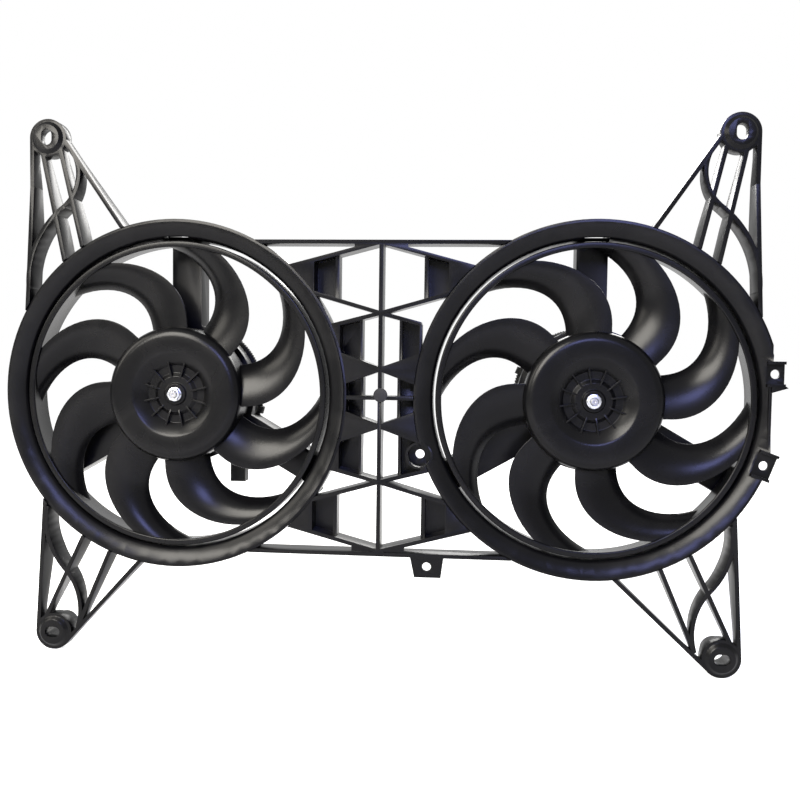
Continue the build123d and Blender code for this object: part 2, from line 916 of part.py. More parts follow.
def armature_core():
    """Slotted iron core pressed on the shaft."""
    mouth = strip((slot_outer - 1, 0), (core_radius + 1, 0), slot_mouth)
    slots = [Rot(0, 0, 360 * i / core_slots) * (slot_field(0) + mouth) for i in range(core_slots)]
    outline = Circle(core_radius) - Circle(shaft_radius) - slots
    return prism(outline, core_front, core_rear)


def armature_windings():
    """Copper in the slots, joined by the coil ends in front of and behind the core."""
    bars = [Rot(0, 0, 360 * i / core_slots) * slot_field(0.4) for i in range(core_slots)]
    copper = prism(Sketch() + bars, core_front - 1, core_rear + 1)
    copper += tube(slot_outer, coil_inner, core_front - coil_reach, core_front)
    return copper + tube(slot_outer, coil_inner, core_rear, core_rear + coil_reach)


def commutator():
    """Ring of contacts on the shaft, in front of the core."""
    return tube(commutator_radius, shaft_radius, commutator_front, commutator_front + commutator_length)


def shaft():
    """Motor shaft, from the nut to the rear bearing."""
    return disc(shaft_radius, shaft_front, shaft_rear)


# Leads, made for the left fan

def lead_arcs():
    """The lead's arcs from the can to the connector: centre, radius and two angles."""
    return [
        (polar(loom_circle - lead_in_radius, loom_turn_in), lead_in_radius, lead_in_angle, loom_turn_in),
        ((0, 0), loom_circle, loom_turn_in, loom_turn_out),
        (polar(loom_circle + lead_out_radius, loom_turn_out), lead_out_radius, 180 + loom_turn_out, 180),
    ]


def bend(centre, radius, start, end):
    """A length of round lead along one arc."""
    section = Pos(radius, loom_depth) * RegularPolygon(loom_radius, loom_sides)
    length = revolve(section, Axis.Y, revolution_arc=abs(end - start))
    return Pos(centre[0], 0, centre[1]) * turn(length, max(start, end))


def lead():
    """The lead in its loom: out of the can, round the motor, then down."""
    return Part() + [bend(*arc) for arc in lead_arcs()]


def lead_grommet():
    """Moulded block on the side of the can where the lead comes out."""
    centre, radius, angle, _ = lead_arcs()[0]
    x, z = shifted(polar(radius, angle), centre)
    forwards = (sin(radians(angle)), 0, -cos(radians(angle)))
    place = Plane(origin=(x, loom_depth, z), x_dir=(0, 1, 0), z_dir=forwards)
    block = Pos(0, 0, -grommet_length / 2) * Box(grommet_width, 3 * grommet_width, grommet_length)
    return place * block & tube(loom_circle - grommet_width, can_radius, 0, 2 * can_rear)


def lead_clips():
    """Clips on the rear edge of the motor ring, as separate solids."""
    loop = loom_radius + loom_gap
    rim_rear = strut_front + mount_rim_depth
    post = Pos(loom_circle, (rim_rear + loom_depth) / 2) * Rectangle(wall, loom_depth - rim_rear)
    outline = post + Pos(loom_circle, loom_depth) * Circle(loop + clip_wall)
    outline -= Pos(loom_circle, loom_depth) * Circle(loop)
    clip = extrude(outline, amount=clip_length / 2, both=True)
    return [turn(clip, angle) for angle in clip_angles]


def connector():
    """Plug housing at the end of the lead, with the post that holds it to the motor ring."""
    centre, radius, _, angle = lead_arcs()[-1]
    x, z = shifted(polar(radius, angle), centre)
    body = Box(connector_width, connector_depth, connector_length)
    rim_rear = strut_front + mount_rim_depth
    outline = Polygon(
        (mount_outer - wall, rim_rear),
        (mount_outer, rim_rear),
        (loom_circle + connector_reach, loom_depth - clip_wall),
        (loom_circle + connector_reach, loom_depth + clip_wall),
        (loom_circle + connector_reach - clip_wall, loom_depth + clip_wall),
        align=None,
    )
    post = turn(extrude(outline, amount=clip_length / 2, both=True), connector_post_angle)
    return Pos(x, loom_depth, z - connector_length / 2) * body + post


# Writing the pieces

def write(name, shape):
    """Writes a piece, or a group of separate solids, to its own file."""
    solids = list(shape) if isinstance(shape, (list, tuple)) else [shape]
    found = [solid for item in solids for solid in item.solids()]
    export_step(found[0] if len(found) == 1 else Compound(found), f"parts/{name}.step")
    print(name, len(found))


def write_shroud():
    """Pieces of the shroud that aren't made once for each fan."""
    write("left_ring", on_axis(ring_wall(), -1))
    write("right_ring", on_axis(right_ring_wall(), 1))
    write("centre_lattice", centre_lattice())
    write("centre_plug", centre_plug())
    made = upper_arm()
    write("upper_right_arm", made)
    write("upper_left_arm", mirror(made, Plane.YZ))
    write("lower_right_arm", lower_arm(*right_outer_rib))
    write("lower_left_arm", mirror(lower_arm(*left_outer_rib), Plane.YZ))


def write_side(name, side, fan_turn):
    """Motor, mount, fan and lead of one side."""
    fixed = {
        "motor_mount": motor_mount(),
        "motor_can": motor_can(),
        "motor_end_plate": motor_end_plate(),
        "motor_screws": motor_screws(),
        "motor_magnets": motor_magnets(),
        "front_bearing": bearing(front_bearing_front),
        "rear_bearing": bearing(rear_bearing_rear - bearing_length),
        "brush_holder": brush_holder(),
        "brushes": brushes(),
        "lead": handed(lead(), side),
        "lead_grommet": handed(lead_grommet(), side),
        "lead_clips": [handed(clip, side) for clip in lead_clips()],
        "lead_connector": handed(connector(), side),
        "armature_core": armature_core(),
        "armature_windings": armature_windings(),
        "commutator": commutator(),
        "motor_shaft": shaft(),
        "fan_nut": fan_nut(),
        "fan": turn(fan_moulding(), fan_turn),
    }
    for piece, shape in fixed.items():
        shapes = shape if isinstance(shape, list) else [shape]
        write(f"{name}_{piece}", [on_axis(item, side) for item in shapes])


os.makedirs("parts", exist_ok=True)
write_shroud()
write_side("left", -1, left_fan_turn)
write_side("right", 1, right_fan_turn)
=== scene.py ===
import json
import math

import bmesh
import bpy
from mathutils import Matrix, Vector


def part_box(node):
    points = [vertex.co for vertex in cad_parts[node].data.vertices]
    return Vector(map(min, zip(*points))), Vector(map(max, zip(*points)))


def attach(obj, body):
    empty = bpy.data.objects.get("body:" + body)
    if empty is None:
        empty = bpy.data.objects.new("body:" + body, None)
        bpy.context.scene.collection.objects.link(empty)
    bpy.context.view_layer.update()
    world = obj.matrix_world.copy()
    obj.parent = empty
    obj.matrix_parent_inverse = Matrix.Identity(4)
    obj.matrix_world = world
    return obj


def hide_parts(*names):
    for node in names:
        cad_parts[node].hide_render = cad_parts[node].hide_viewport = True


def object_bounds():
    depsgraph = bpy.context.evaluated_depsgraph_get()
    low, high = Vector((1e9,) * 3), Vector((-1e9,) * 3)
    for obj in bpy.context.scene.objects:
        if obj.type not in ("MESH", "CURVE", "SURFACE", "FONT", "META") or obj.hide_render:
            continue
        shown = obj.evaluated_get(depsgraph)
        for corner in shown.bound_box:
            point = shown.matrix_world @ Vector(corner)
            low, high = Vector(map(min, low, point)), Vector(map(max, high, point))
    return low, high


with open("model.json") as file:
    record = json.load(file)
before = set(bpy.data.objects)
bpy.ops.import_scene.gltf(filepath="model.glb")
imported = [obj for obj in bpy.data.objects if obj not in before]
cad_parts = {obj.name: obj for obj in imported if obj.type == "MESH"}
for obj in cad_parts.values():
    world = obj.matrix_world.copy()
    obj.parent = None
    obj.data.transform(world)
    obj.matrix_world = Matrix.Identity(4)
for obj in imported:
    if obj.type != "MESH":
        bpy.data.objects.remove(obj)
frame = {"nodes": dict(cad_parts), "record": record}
cad_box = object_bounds()

# Sizes of the fans, in metres; depths are behind the mounting faces
SIDES = ("left", "right")
FAN_TURN = {"left": 8.0, "right": 4.2}
HUB_RADIUS = 0.0728
HUB_FRONT = 0.001
HUB_REAR = 0.042
HUB_ROUND = 0.011
HUB_WALL = 0.0025
HUB_ROUND_STEPS = 10
DISH_EDGE = 0.044
DISH_EDGE_IN = (0.001, 0.0008)
DISH_EDGE_OUT = 0.002
DISH_BOTTOM = 0.031
DISH_FLOOR = 0.013
DISH_WALL = 0.003
DISH_WALL_OUT = 0.0015
COLLAR_FRONT = 0.010
COLLAR_TOP = 0.0192
COLLAR_FOOT = 0.0232
BOSS_RADIUS = 0.011
BOSS_FOOT = 0.0015
BOSS_FRONT = 0.008
BOSS_REAR = 0.026
BORE_RADIUS = 0.004
RIB_COUNT = 12
RIB_WIDTH = 0.0019
RIB_FRONT = 0.0085
RIB_SLOPE = 0.0012
RIB_OUT = 0.0045
RIB_SINK = 0.001
FRONT_RIB_TURN = -5
BACK_RIB_COUNT = 8
BACK_RIB_REAR = 0.030
BLADE_COUNT = 8
BLADE_FRONT = 0.012
BLADE_DEPTH = (0.019, 0.0185)
BLADE_CHORD = (0.045, 0.057)
BLADE_LEAN = -4.2
BLADE_SWEEP = 37.8
BLADE_CAMBER = 0.0045
BLADE_THICK = 0.0028
BLADE_EDGE = 0.0013
BLADE_ROOT_SINK = 0.0035
BLADE_TIP_SHORT = 0.0006
BLADE_CUTS = (13, 19)
BAND_OUTER = (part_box("left_fan")[1].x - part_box("left_fan")[0].x) / 2
BAND_WALL = 0.003
BAND_DRAFT = 0.0028
BAND_FRONT = 0.0085
BAND_REAR = 0.0445
BAND_STEP = 0.0004
BAND_STEPS = 160
LIP_DEPTH = 0.005
LIP_ROUND = 0.0016
LIP_OUT = 0.0019
LIP_IN = 0.0006
LIP_STEPS = 5
ROUND_STEPS = 128

# Nut and shaft
NUT_REAR = 0.008
NUT_FRONT = 0.0024
NUT_HALF = 0.0063
NUT_FACE = 0.0062
NUT_CHAMFER = 0.58
NUT_FLANGE = 0.0075
NUT_FLANGE_DEPTH = 0.0012
NUT_FLANGE_SLOPE = 0.0002
NUT_MOUTH = 0.0004
NUT_STEPS = 48
SHAFT_RADIUS = 0.004
SHAFT_CHAMFER = 0.0006
SHAFT_MARK = ((0, 0.0012), (0.0009, 0.0003), (0.0011, 0))
THREAD_TURNS = 8
THREAD_PITCH = 0.0008
THREAD_DEPTH = 0.0003

# Leads; each arc of the left one has its centre, as distance and angle from the fan's middle,
# then its radius, and the angles where it starts and ends
LOOM_CIRCLE = 0.0755
LOOM_ARCS = (
    (0.0155, 50, 0.060, 150, 50),
    (0, 0, LOOM_CIRCLE, 50, -38),
    (LOOM_CIRCLE + 0.035, -38, 0.035, 142, 180),
)
LOOM_RADIUS = 0.0049
LOOM_GROOVE = 0.0041
LOOM_BORE = 0.0033
LOOM_PITCH = 0.0028
LOOM_RING = ((LOOM_GROOVE, 0), (LOOM_GROOVE, 0.25), (LOOM_RADIUS, 0.4), (LOOM_RADIUS, 0.85))
LOOM_SIDES = 20

# Rounding of edges, and where two faces or two corners count as one
SHARP_ANGLE = 32
FLAT_ANGLE = 0.8
SAME_PLACE = 2e-6
SHROUD_EDGE = 0.0005
MOTOR_EDGE = 0.0004
FAN_EDGE = 0.0004
NUT_EDGE = 0.0002
SHAFT_EDGE = 0.00008
LOOM_EDGE = 0.00015

# Camera and light
CAMERA_PLACE = (0.09676, -0.8832, 0.30485)
CAMERA_TURN = (87.1993, -0.7899, 4.8825)
CAMERA_LENS = 38.25
LAMP_AIM = (0, 0, 0.3)
ROOM_STRENGTH = 0.15
FLOOR_GREY = 0.6
FLOOR_GLOW = 0.85
FLOOR_GAP = 0.0005
FLOOR_REACH = 12

# Solids whose form stays, with their edges rounded
SHROUD_NODES = (
    "left_ring", "right_ring", "centre_lattice", "centre_plug", "upper_left_arm", "upper_right_arm",
    "lower_left_arm", "lower_right_arm", "left_motor_mount", "right_motor_mount",
)
MOTOR_NODES = (
    "motor_can", "motor_end_plate", "lead_connector", "lead_grommet", "lead_clips", "motor_screws",
)


# Camera

def add_camera():
    """Camera where the photograph's perspective puts it."""
    camera = bpy.data.objects.new("camera", bpy.data.cameras.new("camera"))
    bpy.context.scene.collection.objects.link(camera)
    camera.data.sensor_width = 36
    camera.data.lens = CAMERA_LENS
    camera.data.clip_start = 0.02
    camera.data.clip_end = 60
    camera.location = CAMERA_PLACE
    camera.rotation_euler = [math.radians(angle) for angle in CAMERA_TURN]
    bpy.context.scene.camera = camera
    bpy.context.scene.view_settings.view_transform = "Standard"


# Light and stage

def add_lamp(name, place, size, power, colour):
    """A soft rectangular lamp that looks at the middle of the object."""
    lamp = bpy.data.lights.new(name, "AREA")
    lamp.shape = "RECTANGLE"
    lamp.size, lamp.size_y = size
    lamp.energy = power
    lamp.color = colour
    holder = bpy.data.objects.new(name, lamp)
    bpy.context.scene.collection.objects.link(holder)
    holder.location = place
    holder.rotation_euler = (Vector(LAMP_AIM) - Vector(place)).to_track_quat("-Z", "Y").to_euler()


def shown_white(nodes, links):
    """A mask of the rays on which the background is white: seen, mirrored or through glass."""
    path = nodes.new("ShaderNodeLightPath")
    mirrored = nodes.new("ShaderNodeMath")
    mirrored.operation = "MAXIMUM"
    links.new(path.outputs["Is Glossy Ray"], mirrored.inputs[0])
    links.new(path.outputs["Is Transmission Ray"], mirrored.inputs[1])
    shown = nodes.new("ShaderNodeMath")
    shown.operation = "MAXIMUM"
    links.new(path.outputs["Is Camera Ray"], shown.inputs[0])
    links.new(mirrored.outputs[0], shown.inputs[1])
    return shown.outputs[0]


def add_world():
    """White where it is seen or mirrored, and a dim even light all round the object."""
    world = bpy.data.worlds.new("studio")
    bpy.context.scene.world = world
    world.use_nodes = True
    nodes, links = world.node_tree.nodes, world.node_tree.links
    nodes.clear()
    seen = nodes.new("ShaderNodeBackground")
    seen.inputs["Color"].default_value = (1, 1, 1, 1)
    seen.inputs["Strength"].default_value = 1.0
    room = nodes.new("ShaderNodeBackground")
    room.inputs["Color"].default_value = (1, 0.99, 0.97, 1)
    room.inputs["Strength"].default_value = ROOM_STRENGTH
    mix = nodes.new("ShaderNodeMixShader")
    out = nodes.new("ShaderNodeOutputWorld")
    links.new(shown_white(nodes, links), mix.inputs[0])
    links.new(room.outputs[0], mix.inputs[1])
    links.new(seen.outputs[0], mix.inputs[2])
    links.new(mix.outputs[0], out.inputs["Surface"])


def floor_material():
    """White floor: the camera sees it white, and it keeps the object's shadow."""
    material = bpy.data.materials.new("white_floor")
    material.use_nodes = True
    nodes, links = material.node_tree.nodes, material.node_tree.links
    surface = nodes["Principled BSDF"]
    surface.inputs["Base Color"].default_value = (FLOOR_GREY, FLOOR_GREY, FLOOR_GREY, 1)
    surface.inputs["Roughness"].default_value = 0.9
    glow = nodes.new("ShaderNodeMath")
    glow.operation = "MULTIPLY"
    glow.inputs[1].default_value = FLOOR_GLOW
    links.new(shown_white(nodes, links), glow.inputs[0])
    links.new(glow.outputs[0], surface.inputs["Emission Strength"])
    surface.inputs["Emission Color"].default_value = (1, 1, 1, 1)
    return material


def add_floor():
    """Plain pale floor under the lowest feet."""
    build = bmesh.new()
    bmesh.ops.create_grid(build, x_segments=1, y_segments=1, size=FLOOR_REACH)
    bmesh.ops.translate(build, verts=build.verts, vec=(0, 0, cad_box[0].z - FLOOR_GAP))
    mesh = bpy.data.meshes.new("floor")
    build.to_mesh(mesh)
    build.free()
    floor = bpy.data.objects.new("floor", mesh)
    floor.data.materials.append(floor_material())
    bpy.context.scene.collection.objects.link(floor)


# Materials

def skin_group():
    """Surface of a moulded or turned piece: fine grain, flow marks, dust and handling marks."""
    group = bpy.data.node_groups.new("piece_skin", "ShaderNodeTree")
    face = group.interface
    for name in ("Grain size", "Grain depth", "Roughness", "Spread"):
        face.new_socket(name, in_out="INPUT", socket_type="NodeSocketFloat")
    for name in ("Tint", "Worn tint"):
        face.new_socket(name, in_out="INPUT", socket_type="NodeSocketColor")
    face.new_socket("Colour", in_out="OUTPUT", socket_type="NodeSocketColor")
    face.new_socket("Roughness", in_out="OUTPUT", socket_type="NodeSocketFloat")
    face.new_socket("Normal", in_out="OUTPUT", socket_type="NodeSocketVector")
    nodes, links = group.nodes, group.links
    given = nodes.new("NodeGroupInput")
    made = nodes.new("NodeGroupOutput")
    place = nodes.new("ShaderNodeTexCoord")

    grain = nodes.new("ShaderNodeTexNoise")
    grain.inputs["Detail"].default_value = 3
    links.new(place.outputs["Object"], grain.inputs["Vector"])
    links.new(given.outputs["Grain size"], grain.inputs["Scale"])

    flow = nodes.new("ShaderNodeTexNoise")
    flow.inputs["Scale"].default_value = 14
    flow.inputs["Detail"].default_value = 5
    flow.inputs["Distortion"].default_value = 1.2
    links.new(place.outputs["Object"], flow.inputs["Vector"])

    spread = nodes.new("ShaderNodeMath")
    spread.operation = "MULTIPLY_ADD"
    links.new(flow.outputs["Fac"], spread.inputs[0])
    links.new(given.outputs["Spread"], spread.inputs[1])
    links.new(given.outputs["Roughness"], spread.inputs[2])
    links.new(spread.outputs[0], made.inputs["Roughness"])

    patches = nodes.new("ShaderNodeMapRange")
    patches.inputs["From Min"].default_value = 0.45
    patches.inputs["From Max"].default_value = 0.75
    links.new(flow.outputs["Fac"], patches.inputs["Value"])
    tint = nodes.new("ShaderNodeMix")
    tint.data_type = "RGBA"
    links.new(patches.outputs["Result"], tint.inputs["Factor"])
    links.new(given.outputs["Tint"], tint.inputs["A"])
    links.new(given.outputs["Worn tint"], tint.inputs["B"])
    links.new(tint.outputs["Result"], made.inputs["Colour"])

    bump = nodes.new("ShaderNodeBump")
    bump.inputs["Distance"].default_value = 0.0001
    links.new(grain.outputs["Fac"], bump.inputs["Height"])
    links.new(given.outputs["Grain depth"], bump.inputs["Strength"])
    links.new(bump.outputs["Normal"], made.inputs["Normal"])
    return group


piece_skin = skin_group()


def plastic(name, tint, worn, roughness, spread=0.1, grain=900, depth=0.25, index=1.2):
    """Moulded plastic or rubber in its own colour and gloss."""
    material = bpy.data.materials.new(name)
    material.use_nodes = True
    nodes, links = material.node_tree.nodes, material.node_tree.links
    surface = nodes["Principled BSDF"]
    skin = nodes.new("ShaderNodeGroup")
    skin.node_tree = piece_skin
    skin.inputs["Grain size"].default_value = grain
    skin.inputs["Grain depth"].default_value = depth
    skin.inputs["Roughness"].default_value = roughness
    skin.inputs["Spread"].default_value = spread
    skin.inputs["Tint"].default_value = (*tint, 1)
    skin.inputs["Worn tint"].default_value = (*worn, 1)
    links.new(skin.outputs["Colour"], surface.inputs["Base Color"])
    links.new(skin.outputs["Roughness"], surface.inputs["Roughness"])
    links.new(skin.outputs["Normal"], surface.inputs["Normal"])
    surface.inputs["IOR"].default_value = index
    return material


def metal(name, tint, worn, roughness, spread=0.12, grain=400, depth=0.15):
    """Bare or plated metal."""
    material = plastic(name, tint, worn, roughness, spread, grain, depth, 1.5)
    material.node_tree.nodes["Principled BSDF"].inputs["Metallic"].default_value = 1.0
    return material


MATERIALS = {
    "shroud_plastic": plastic("shroud_nylon", (0.0015, 0.0015, 0.0016), (0.0036, 0.0035, 0.0034), 0.24),
    "fan_plastic": plastic("fan_nylon", (0.0015, 0.0015, 0.0016), (0.0033, 0.0032, 0.0031), 0.22),
    "plug_rubber": plastic("plug_rubber", (0.01, 0.01, 0.01), (0.015, 0.015, 0.015), 0.55),
    "can_steel": plastic("motor_paint", (0.012, 0.012, 0.012), (0.02, 0.02, 0.02), 0.35),
    "plate_steel": metal("plate_zinc", (0.5, 0.5, 0.48), (0.4, 0.4, 0.38), 0.35),
    "screw_steel": metal("screw_zinc", (0.55, 0.52, 0.45), (0.45, 0.42, 0.36), 0.35),
    "magnet_ferrite": plastic("ferrite", (0.05, 0.05, 0.055), (0.07, 0.07, 0.07), 0.7),
    "bearing_bronze": metal("bronze", (0.45, 0.3, 0.15), (0.35, 0.24, 0.13), 0.4),
    "holder_plastic": plastic("holder_resin", (0.09, 0.06, 0.035), (0.12, 0.08, 0.05), 0.5),
    "brush_carbon": plastic("carbon", (0.03, 0.03, 0.03), (0.05, 0.05, 0.05), 0.6),
    "loom_plastic": plastic("loom", (0.012, 0.012, 0.012), (0.018, 0.018, 0.018), 0.5),
    "grommet_rubber": plastic("grommet", (0.01, 0.01, 0.01), (0.015, 0.015, 0.015), 0.6),
    "clip_plastic": plastic("clip_nylon", (0.012, 0.012, 0.012), (0.018, 0.018, 0.018), 0.45),
    "connector_plastic": plastic("connector_nylon", (0.012, 0.012, 0.012), (0.018, 0.018, 0.018), 0.42),
    "core_iron": metal("core_iron", (0.3, 0.3, 0.3), (0.22, 0.2, 0.18), 0.5),
    "winding_copper": metal("copper_wire", (0.6, 0.25, 0.12), (0.45, 0.18, 0.09), 0.3),
    "commutator_copper": metal("turned_copper", (0.75, 0.38, 0.22), (0.6, 0.28, 0.16), 0.3),
    "shaft_steel": metal("shaft_steel", (0.3, 0.3, 0.31), (0.22, 0.22, 0.22), 0.28),
    "nut_steel": metal("nut_zinc", (0.42, 0.43, 0.45), (0.32, 0.33, 0.34), 0.22),
}
SLOT_OF = {entry["node"]: entry["material_slot"] for entry in frame["record"]["subparts"]}
BODIES = frame["record"]["behaviour"]["bodies"]
BODY_OF = {node: body for body, nodes in BODIES.items() for node in nodes}


# Making and placing pieces

def finish_piece(build, name, node, edge, segments=2):
    """Turns a mesh in the making into a piece with rounded edges that stands for its solid."""
    mesh = bpy.data.meshes.new(name)
    build.to_mesh(mesh)
    build.free()
    mesh.shade_smooth()
    piece = bpy.data.objects.new(name, mesh)
    bpy.context.scene.collection.objects.link(piece)
    mesh.materials.append(MATERIALS[SLOT_OF[node]])
    rounding = piece.modifiers.new("rounded edges", "BEVEL")
    rounding.width = edge
    rounding.segments = segments
    rounding.limit_method = "ANGLE"
    rounding.angle_limit = math.radians(SHARP_ANGLE)
    rounding.harden_normals = True
    rounding.use_clamp_overlap = True
    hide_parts(node)
    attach(piece, BODY_OF[node])


def finish_on_fan(build, side, name, node, edge, segments=2):
    """Moves a piece made round the origin to its fan, turns its faces outwards and finishes it."""
    bmesh.ops.translate(build, verts=build.verts, vec=fan_centre(side))
    bmesh.ops.recalc_face_normals(build, faces=build.faces)
    finish_piece(build, f"{side}_{name}", f"{side}_{node}", edge, segments)


def soften(node, edge):
    """A copy of a solid with its edges rounded, as they leave the mould or the press."""
    build = bmesh.new()
    build.from_mesh(frame["nodes"][node].data)
    bmesh.ops.remove_doubles(build, verts=build.verts, dist=SAME_PLACE)
    bmesh.ops.dissolve_limit(
        build, angle_limit=math.radians(FLAT_ANGLE), verts=build.verts, edges=build.edges,
    )
    finish_piece(build, f"{node}_piece", node, edge)


def arc(centre, radius, start, end, steps):
    """Points of an arc in radius and depth, between two angles from the radius axis."""
    points = []
    for i in range(steps + 1):
        angle = math.radians(start + (end - start) * i / steps)
        points.append((centre[0] + radius * math.cos(angle), centre[1] + radius * math.sin(angle)))
    return points


def spin_outline(build, outline, steps=ROUND_STEPS, closed=True):
    """An outline of radius and depth, closed or from pole to pole, spun once round the Y axis."""
    corners = [build.verts.new((radius, depth, 0)) for radius, depth in outline]
    first = 0 if closed else 1
    edges = [build.edges.new((corners[i - 1], corners[i])) for i in range(first, len(corners))]
    bmesh.ops.spin(
        build, geom=corners + edges, cent=(0, 0, 0), axis=(0, 1, 0), angle=math.tau, steps=steps,
        use_merge=True,
    )


def copies_round(build, geom, count):
    """Copies of a shape evenly round the Y axis, the first one included."""
    bmesh.ops.spin(
        build, geom=geom, cent=(0, 0, 0), axis=(0, 1, 0), angle=math.tau * (count - 1) / count,
        steps=count - 1, use_duplicate=True,
    )


def everything(build):
    """All the geometry of a mesh in the making."""
    return build.verts[:] + build.edges[:] + build.faces[:]


def join(build, other):
    """Adds one mesh in the making to another."""
    mesh = bpy.data.meshes.new("joined")
    other.to_mesh(mesh)
    other.free()
    build.from_mesh(mesh)
    bpy.data.meshes.remove(mesh)


def fan_centre(side):
    """Middle of a fan, at the depth of the mounting faces."""
    low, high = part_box(f"{side}_fan")
    return Vector(((low.x + high.x) / 2, 0, (low.z + high.z) / 2))


# Fans

def hub_shell(build):
    """Hub: rounded drum, dished front with a raised collar, and the boss on the shaft."""
    skin = HUB_FRONT + HUB_WALL
    inner = HUB_RADIUS - HUB_WALL
    rear_floor = DISH_FLOOR + DISH_WALL
    outline = [(BORE_RADIUS, BOSS_FRONT), (BOSS_RADIUS, BOSS_FRONT)]
    outline += [(BOSS_RADIUS + BOSS_FOOT, COLLAR_FRONT), (COLLAR_TOP, COLLAR_FRONT)]
    outline += [(COLLAR_FOOT, DISH_FLOOR), (DISH_BOTTOM, DISH_FLOOR)]
    outline += [(DISH_EDGE - DISH_EDGE_IN[0], HUB_FRONT + DISH_EDGE_IN[1])]
    outline += [(DISH_EDGE + DISH_EDGE_OUT, HUB_FRONT)]
    round_centre = (HUB_RADIUS - HUB_ROUND, HUB_FRONT + HUB_ROUND)
    outline += arc(round_centre, HUB_ROUND, -90, 0, HUB_ROUND_STEPS)
    outline += [(HUB_RADIUS, HUB_REAR), (inner, HUB_REAR), (inner, HUB_FRONT + HUB_ROUND)]
    outline += [(HUB_RADIUS - HUB_ROUND, skin), (DISH_EDGE + DISH_WALL_OUT, skin)]
    outline += [(DISH_BOTTOM + DISH_WALL_OUT, rear_floor), (BOSS_RADIUS, rear_floor)]
    outline += [(BOSS_RADIUS, BOSS_REAR), (BORE_RADIUS, BOSS_REAR)]
    spin_outline(build, outline)


def hub_rib(outline, width):
    """A flat rib on the radius, from an outline of radius and depth."""
    rib = bmesh.new()
    face = rib.faces.new([rib.verts.new((radius, depth, -width / 2)) for radius, depth in outline])
    grown = bmesh.ops.extrude_face_region(rib, geom=[face])
    moved = [item for item in grown["geom"] if isinstance(item, bmesh.types.BMVert)]
    bmesh.ops.translate(rib, verts=moved, vec=(0, 0, width))
    return rib


def hub_ribs(build):
    """Ribs round the collar at the front, and the stiffening ribs behind the hub's face."""
    front = hub_rib([
        (COLLAR_TOP - 2 * RIB_SINK, RIB_FRONT + RIB_SLOPE),
        (COLLAR_TOP + 2 * RIB_SINK, RIB_FRONT),
        (DISH_BOTTOM + RIB_OUT, RIB_FRONT),
        (DISH_BOTTOM + RIB_OUT, DISH_FLOOR + RIB_SINK),
        (COLLAR_TOP - 2 * RIB_SINK, DISH_FLOOR + RIB_SINK),
    ], RIB_WIDTH)
    turned = Matrix.Rotation(math.radians(FRONT_RIB_TURN), 3, "Y")
    bmesh.ops.rotate(front, verts=front.verts, cent=(0, 0, 0), matrix=turned)
    copies_round(front, everything(front), RIB_COUNT)
    rear = hub_rib([
        (BOSS_RADIUS - RIB_SINK, DISH_FLOOR + 2 * RIB_SINK),
        (DISH_BOTTOM, DISH_FLOOR + 2 * RIB_SINK),
        (DISH_EDGE, HUB_FRONT + 2 * RIB_SINK),
        (HUB_RADIUS - HUB_ROUND, HUB_FRONT + 2 * RIB_SINK),
        (HUB_RADIUS - RIB_SINK, HUB_FRONT + HUB_ROUND),
        (HUB_RADIUS - RIB_SINK, BACK_RIB_REAR),
        (BOSS_RADIUS - RIB_SINK, BOSS_REAR),
    ], RIB_WIDTH)
    copies_round(rear, everything(rear), BACK_RIB_COUNT)
    join(build, front)
    join(build, rear)


def blade_point(along, outward, skin):
    """A point of a blade from its place along the chord, out from the hub, and on which skin."""
    root = HUB_RADIUS - BLADE_ROOT_SINK
    tip = BAND_OUTER - BAND_WALL - BLADE_TIP_SHORT
    radius = root + (tip - root) * outward
    share = max(0, (radius - HUB_RADIUS) / (tip - HUB_RADIUS))
    angle = math.radians(BLADE_LEAN * share + BLADE_SWEEP * share**2)
    chord = BLADE_CHORD[0] + (BLADE_CHORD[1] - BLADE_CHORD[0]) * share
    depth = BLADE_DEPTH[0] + (BLADE_DEPTH[1] - BLADE_DEPTH[0]) * share
    bulge = 4 * along * (1 - along)
    half = (BLADE_EDGE + (BLADE_THICK - BLADE_EDGE) * bulge) / 2
    lift = (BLADE_CAMBER * bulge + skin * half) / math.hypot(chord, depth)
    sideways = chord * (along - 0.5) + depth * lift
    back = BLADE_FRONT + depth * along - chord * lift
    x = radius * math.cos(angle) - sideways * math.sin(angle)
    z = radius * math.sin(angle) + sideways * math.cos(angle)
    return Vector((x, back, z))


def cut_across(build, axis, cuts):
    """Cuts the edges of a unit cube that run along an axis."""
    edges = [
        edge for edge in build.edges
        if abs((edge.verts[0].co - edge.verts[1].co)[axis]) > 0.5
    ]
    bmesh.ops.subdivide_edges(build, edges=edges, cuts=cuts, use_grid_fill=True)


def blades():
    """All the swept blades of a fan, each a block bent to the blade's form."""
    build = bmesh.new()
    bmesh.ops.create_cube(build, size=1)
    for axis, cuts in enumerate(BLADE_CUTS):
        cut_across(build, axis, cuts)
    for vert in build.verts:
        vert.co = blade_point(vert.co.x + 0.5, vert.co.y + 0.5, 2 * vert.co.z)
    copies_round(build, everything(build), BLADE_COUNT)
    return build


def tip_band(build):
    """Band round the blade tips, with its rolled front lip."""
    inner = BAND_OUTER - BAND_WALL
    lip = BAND_FRONT + LIP_ROUND
    outline = arc((BAND_OUTER - LIP_OUT, lip), LIP_ROUND, -90, 0, LIP_STEPS)
    outline += [(BAND_OUTER - BAND_DRAFT + BAND_STEP, BAND_FRONT + LIP_DEPTH)]
    outline += [(BAND_OUTER, BAND_REAR), (inner, BAND_REAR)]
    outline += [(inner - BAND_DRAFT, BAND_FRONT + LIP_DEPTH)]
    outline += arc((inner - BAND_DRAFT + LIP_IN, lip), LIP_ROUND, 180, 270, LIP_STEPS)
    spin_outline(build, outline, BAND_STEPS)


